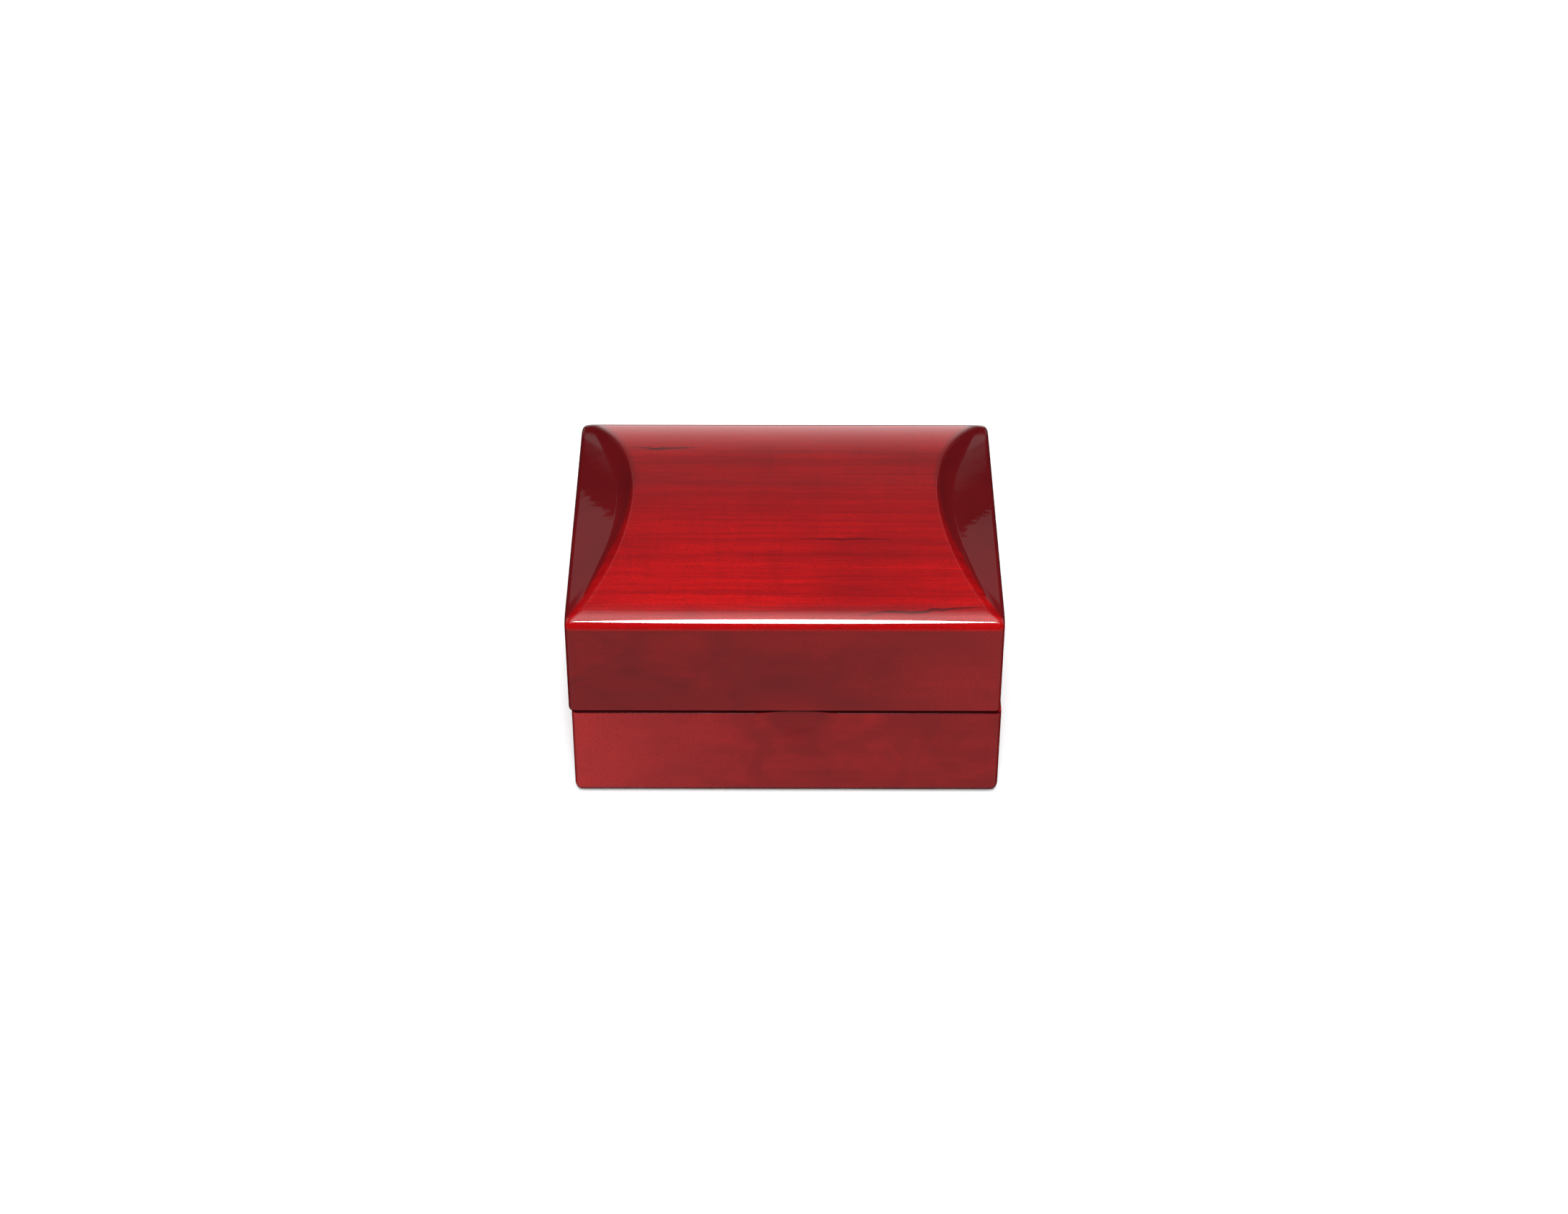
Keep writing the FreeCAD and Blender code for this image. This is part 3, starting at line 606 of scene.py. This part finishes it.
def satin(name, pale, deep, seed):
    """A smooth weave with a soft shine across its threads, and small wrinkles where it is stretched."""
    n = Surface(name, Roughness=0.38, Specular_IOR_Level=0.5, Anisotropic=0.5, Sheen_Weight=0.2)
    threads = n.noise(n.stretched(12.0, 1.5, 1.5, seed), 2, 0.5)
    weft = n.noise(n.stretched(1.5, 12.0, 1.5, seed + 4), 2, 0.5)
    wrinkles = n.noise(n.stretched(0.30, 0.10, 0.2, seed + 7), 3, 0.5, 0.8)
    weave = n.sum(threads, weft)
    n.feed(n.inputs["Base Color"], n.mix(n.spread(weave, 0.5, 1.5), deep, pale))
    height = n.sum(n.product(weave, 0.02), wrinkles)
    n.feed(n.inputs["Normal"], n.bump(height, 0.35 * MM, 0.8))
    return n.material


def felt(name, colour, dark, seed):
    """Pressed wool: tangled fibres with no direction."""
    n = Surface(name, Roughness=1.0, Specular_IOR_Level=0.1, Sheen_Weight=0.4)
    fibres = n.noise(n.stretched(3.0, 3.0, 3.0, seed), 5, 0.75, 2.0)
    n.feed(n.inputs["Base Color"], n.mix(n.spread(fibres, 0.35, 0.65), dark, colour))
    n.feed(n.inputs["Normal"], n.bump(fibres, 0.12 * MM))
    return n.material


def card(name, colour, dark, seed):
    """Greyboard: short flat fibres and a few darker flecks."""
    n = Surface(name, Roughness=0.85, Specular_IOR_Level=0.2)
    fibres = n.noise(n.stretched(1.2, 2.4, 2.4, seed), 4, 0.7, 1.0)
    flecks = n.noise(n.stretched(2.6, 2.6, 2.6, seed + 5), 2, 0.4)
    colour = n.mix(n.spread(fibres, 0.35, 0.65), dark, colour)
    n.feed(n.inputs["Base Color"], n.mix(n.spread(flecks, 0.64, 0.70, 0.0, 0.5), colour, dark))
    n.feed(n.inputs["Normal"], n.bump(fibres, 0.04 * MM, 0.5))
    return n.material


def brass(name, stretch, seed):
    """Rolled or drawn brass: fine drawing lines, a little tarnish where it isn't rubbed."""
    n = Surface(name, Metallic=0.8)
    lines = n.noise(n.stretched(*stretch, seed), 3, 0.6)
    tarnish = n.noise(n.stretched(0.5, 0.5, 0.5, seed + 3), 4, 0.6)
    dulled = n.spread(tarnish, 0.45, 0.75, 0.0, 0.6)
    n.feed(n.inputs["Base Color"], n.mix(dulled, shade_of(222, 184, 112), shade_of(176, 134, 72)))
    n.feed(n.inputs["Roughness"], n.spread(n.sum(lines, tarnish), 0.7, 1.3, 0.20, 0.42))
    n.feed(n.inputs["Normal"], n.bump(lines, 0.01 * MM, 0.6))
    return n.material


# ---------------------------------------------------------------- the box
# The brighter red painted along the front edge of the top and the rim: painted light.
FRONT_EDGE_PAINTED_LIGHT = shade_of(205, 12, 12)
# The painted shadow along the seam: its colour, the middle of it, and where it starts and ends fading
# out.
SEAM_PAINTED_SHADOW = shade_of(30, 3, 6)
SEAM_Z = PARTING_Z + 0.12 * MM
SEAM_FADE = (0.26 * MM, 0.34 * MM)
STREAK_STAIN = shade_of(58, 4, 8)
TOP_STAIN = Stain(dark=shade_of(146, 8, 12), light=shade_of(178, 12, 14),
                  darkest=shade_of(98, 8, 14), palest=shade_of(178, 16, 20))
FRONT_STAIN = Stain(dark=shade_of(118, 17, 19), light=shade_of(142, 21, 23),
                    darkest=shade_of(96, 13, 17), palest=shade_of(150, 28, 30))
# The base's stain, painted lighter than the lid's front: painted light for the floor's bounce on the
# base.
BASE_STAIN_AND_PAINTED_LIGHT = Stain(dark=shade_of(139, 20, 22), light=shade_of(163, 26, 28),
                   darkest=shade_of(109, 15, 19), palest=shade_of(190, 48, 48))
# Dark marks in the lid's veneer: place and size in millimetres, then the slope along the mark.
LID_STREAKS = ((-18.9, 13.9, 12.0, 1.1), (8.6, -10.3, 16.0, 0.45), (19.8, -23.5, 23.0, 0.6, 0.07))
make_lid_shell(lacquered_wood("lacquered_wood_lid", 11.0, TOP_STAIN, FRONT_STAIN,
                              front_top=EDGE_Z, pale_end=LID_HALF_WIDTH, streaks=LID_STREAKS))
make_base_shell(lacquered_wood("lacquered_wood_base", 47.0, BASE_STAIN_AND_PAINTED_LIGHT, BASE_STAIN_AND_PAINTED_LIGHT,
                               front_top=TOP_Z, pale_end=-BASE_HALF_WIDTH))

IVORY = shade_of(238, 228, 206)
IVORY_SHADE = shade_of(204, 190, 162)
SATIN_SHADE = shade_of(224, 212, 188)
# How many gathers go round a cushion's edge: two counts that never fall into step.
GATHER_COUNTS = (61, 97)


class SoftShape:
    """How a CAD block is softened: its edges are rounded by so much along X, Y and Z, one face is crowned
    (+1 the top, -1 the underside), its sides draw in between the corners by the share pull, and gathers
    run round the crowned face's edge."""

    def __init__(self, rounding, crown=0.0, face=1, pull=0.0, gathers=0.0, cuts=40):
        self.rounding = Vector(rounding)
        self.crown = crown
        self.face = face
        self.pull = pull
        self.gathers = gathers
        self.cuts = cuts

    def place(self, share, half):
        """Where a point of a cube from -1 to 1 goes on a block of those half sizes."""
        core = Vector(min(max(s * h, r - h), h - r) for s, h, r in zip(share, half, self.rounding))
        out = Vector((s * h - c) / r for s, h, c, r in zip(share, half, core, self.rounding))
        place = core + out.normalized() * self.rounding
        crowned = max(0.0, share.z * self.face)
        dome = (1 - share.x**2) * (1 - share.y**2) - 1
        rim = max(abs(share.x), abs(share.y)) ** 6
        around = math.atan2(share.y * half.y, share.x * half.x)
        many, more = GATHER_COUNTS
        ripple = math.sin(many * around) + 0.6 * math.sin(more * around + 1.0)
        place.z += self.face * crowned * (self.crown * dome + self.gathers * rim * ripple)
        place.y *= 1 - self.pull * (1 - share.x**2) * abs(share.y) ** 3
        place.x *= 1 - self.pull * (1 - share.y**2) * abs(share.x) ** 3
        return place


WRAPPED_CARD = SoftShape((0.35 * MM, 0.35 * MM, 0.5 * MM), cuts=10)
RING_ROLL = SoftShape((1.3 * MM, 3 * MM, 3 * MM), crown=1.0 * MM, pull=0.015, gathers=0.05 * MM)
LID_PAD = SoftShape((0.7 * MM, 0.7 * MM, 0.9 * MM), crown=0.9 * MM, face=-1, pull=0.004,
                    gathers=0.10 * MM, cuts=64)


def soft_block(name, node, body, material, shape):
    """A padded or wrapped piece in place of a CAD block."""
    low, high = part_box(node)
    middle, half = (low + high) / 2, (high - low) / 2
    shaper = bmesh.new()
    bmesh.ops.create_cube(shaper, size=2)
    bmesh.ops.subdivide_edges(shaper, edges=shaper.edges[:], cuts=shape.cuts, use_grid_fill=True)
    for corner in shaper.verts:
        corner.co = middle + shape.place(corner.co.copy(), half)
    mesh = bpy.data.meshes.new(name)
    shaper.to_mesh(mesh)
    shaper.free()
    mesh.shade_smooth()
    mesh.materials.append(material)
    piece = bpy.data.objects.new(name, mesh)
    bpy.context.scene.collection.objects.link(piece)
    piece.modifiers.new("smoothness", "SUBSURF").levels = 1
    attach(piece, body)
    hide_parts(node)
    return piece


def make_lining():
    """The wrapped cards round both hollows."""
    cloth = velvet("lining_velvet", IVORY, IVORY_SHADE, 21.0)
    for body in ("base", "lid"):
        for side in ("front", "back", "left", "right"):
            node = f"{body}_liner_{side}"
            soft_block(f"{node}_wrapped", node, body, cloth, WRAPPED_CARD)


def make_padding():
    """The two ring cushions in the base and the satin pad in the lid."""
    cloth = velvet("cushion_velvet", IVORY, IVORY_SHADE, 33.0)
    for side in ("front", "rear"):
        node = f"ring_pad_{side}"
        roll = soft_block(f"{node}_cover", node, "base", cloth, RING_ROLL)
    cover = satin("pad_satin", IVORY, SATIN_SHADE, 41.0)
    pad = soft_block("lid_pad_cover", "lid_pad", "lid", cover, LID_PAD)


def finish_metal_and_boards():
    """Materials for the pieces whose CAD shape is kept."""
    sheet = brass("hinge_brass", (0.3, 6.0, 6.0), 5.0)
    turned = brass("screw_brass", (4.0, 4.0, 4.0), 9.0)
    board = card("greyboard", shade_of(168, 158, 142), shade_of(120, 110, 96), 13.0)
    under = felt("foot_felt", shade_of(79, 69, 69), shade_of(48, 42, 42), 17.0)
    finishes = {"hinge_leaf_base": sheet, "hinge_leaf_lid": sheet, "hinge_pin": turned,
                "base_hinge_screws": turned, "lid_hinge_screws": turned,
                "pad_board": board, "lid_pad_board": board, "base_felt": under}
    for node, finish in finishes.items():
        for holder in frame["nodes"][node].material_slots:
            holder.material = finish


make_lining()
make_padding()
finish_metal_and_boards()


# ---------------------------------------------------------------- floor, light and camera
FLOOR_SIZE = 6.0
# The light that comes from every direction of the room.
ROOM_GLOW = 0.02
# The camera: place in metres, angles in degrees, lens and sensor in millimetres.
CAMERA_PLACE = (-0.0004, -0.3691, 0.3047)
LOOK_DOWN = 38.045
CAMERA_ROLL = 0.1
LENS_LENGTH = 69.5
SENSOR_WIDTH = 36.0


def from_lid(elevation, distance):
    """A point in the YZ plane seen from the lid; elevation in degrees from the front, over the top."""
    angle = math.radians(elevation)
    front_edge = Vector((0, -HALF_DEPTH, SHOULDER_Z))
    return front_edge + distance * Vector((0, -math.cos(angle), math.sin(angle)))


def soft_light(name, elevation, distance, width, height, radiance, shape="RECTANGLE"):
    """A soft light facing the lid's front edge. The radiance is how bright its face looks."""
    lamp = bpy.data.lights.new(name, "AREA")
    lamp.shape = shape
    lamp.size, lamp.size_y = width, height
    area = width * height * (math.pi / 4 if shape == "ELLIPSE" else 1)
    lamp.energy = radiance * area * math.pi
    holder = bpy.data.objects.new(name, lamp)
    holder.location = from_lid(elevation, distance)
    holder.rotation_euler = Euler((math.radians(90 - elevation), 0, 0))
    bpy.context.scene.collection.objects.link(holder)
    return holder


def make_studio():
    """What the lacquer mirrors: a backdrop, side walls, windows, the ceiling and the floor. Angles are in
    degrees: azimuth from straight behind the box to either side, elevation from the horizon up."""
    world = bpy.data.worlds.new("studio")
    bpy.context.scene.world = world
    world.use_nodes = True
    n = Shader(world.node_tree, "Generated")
    x, y, z = n.axes()
    azimuth = n.math("DEGREES", n.math("ABSOLUTE", n.math("ARCTAN2", x, y)))
    elevation = n.math("DEGREES", n.math("ARCSINE", z))

    fall_off = n.math("MINIMUM", n.math("EXPONENT", n.product(elevation, -0.1)), 1.3)
    backdrop = n.product(fall_off, n.spread(azimuth, 14, 24, 1.08, 0.0), n.spread(elevation, -14, -8))
    # Beside the backdrop are a dark gap and then a grey wall, a little further round on the right. The
    # floor in front of that wall is as grey, but not the skirting between them.
    turned = n.sum(azimuth, n.product(x, -0.35))
    wall = n.product(n.band(turned, (29.45, 29.55), (32.5, 34)),
                     n.band(elevation, (21.8, 22.0), (25, 29)))
    wall_floor = n.product(n.band(turned, (24, 26), (31.2, 31.8)),
                           n.band(elevation, (-12, -6), (13, 17)))
    grey = n.product(n.sum(wall, wall_floor), 0.28)
    backdrop_end = n.product(n.band(turned, (20, 24), (27.8, 28.9)), n.spread(elevation, 19, 20), 0.35)
    windows = n.product(n.band(azimuth, (50, 60), (95, 110)), n.band(elevation, (0, 8), (40, 60)), 0.6)
    ceiling = n.product(n.spread(y, -0.20, 0.30, 3.0, 0.15), n.spread(y, -0.75, -0.65),
                        n.spread(n.math("ABSOLUTE", x), 0.25, 0.5, 1.0, 0.0), n.spread(z, 0.3, 0.5))
    ground = n.product(n.spread(elevation, -30, -4, 0.31, 0.0, smooth=True),
                       n.spread(y, -0.2, 0.0, 1.0, 0.0))
    light = n.sum(backdrop, grey, backdrop_end, windows, ceiling, ground, ROOM_GLOW)
    n.feed(world.node_tree.nodes["Background"].inputs["Color"], light)


def make_floor():
    """A plain pale floor, left out of reflections and sending no light onto the box."""
    half = FLOOR_SIZE / 2
    corners = [(-half, -half, 0), (half, -half, 0), (half, half, 0), (-half, half, 0)]
    paint = Surface("pale_floor", Base_Color=(0.9, 0.9, 0.9, 1), Roughness=0.9)
    floor = new_object("floor", corners, [(0, 1, 2, 3)], paint.material)
    floor.visible_glossy = False
    floor.visible_diffuse = False


def make_camera():
    """The camera looks down on the box's front, turned about its own axis by a hair."""
    data = bpy.data.cameras.new("camera")
    data.sensor_width = SENSOR_WIDTH
    data.lens = LENS_LENGTH
    data.clip_start = 0.01
    camera = bpy.data.objects.new("camera", data)
    camera.location = CAMERA_PLACE
    tilt, roll = Euler((math.radians(90 - LOOK_DOWN), 0, 0)), Euler((0, 0, math.radians(CAMERA_ROLL)))
    camera.rotation_euler = (tilt.to_matrix() @ roll.to_matrix()).to_euler()
    bpy.context.scene.collection.objects.link(camera)
    bpy.context.scene.camera = camera


make_studio()
make_floor()
# The key light's reflection is the white strip on the lid's front edge. Its ends only lengthen the strip,
# and the fills only light the wood.
soft_light("key", 52, 1.2, width=0.215, height=0.68, radiance=28.5, shape="ELLIPSE")
key_ends = soft_light("key_ends", 52, 1.21, width=0.33, height=0.20, radiance=30, shape="ELLIPSE")
key_ends.visible_diffuse = False
for fill_name, fill_elevation, fill_radiance in (("fill", 40, 2.7), ("back_fill", 150, 1.0)):
    fill = soft_light(fill_name, fill_elevation, 1.6, width=1.2, height=1.0, radiance=fill_radiance)
    fill.visible_glossy = False
make_camera()
bpy.context.scene.view_settings.view_transform = "Standard"
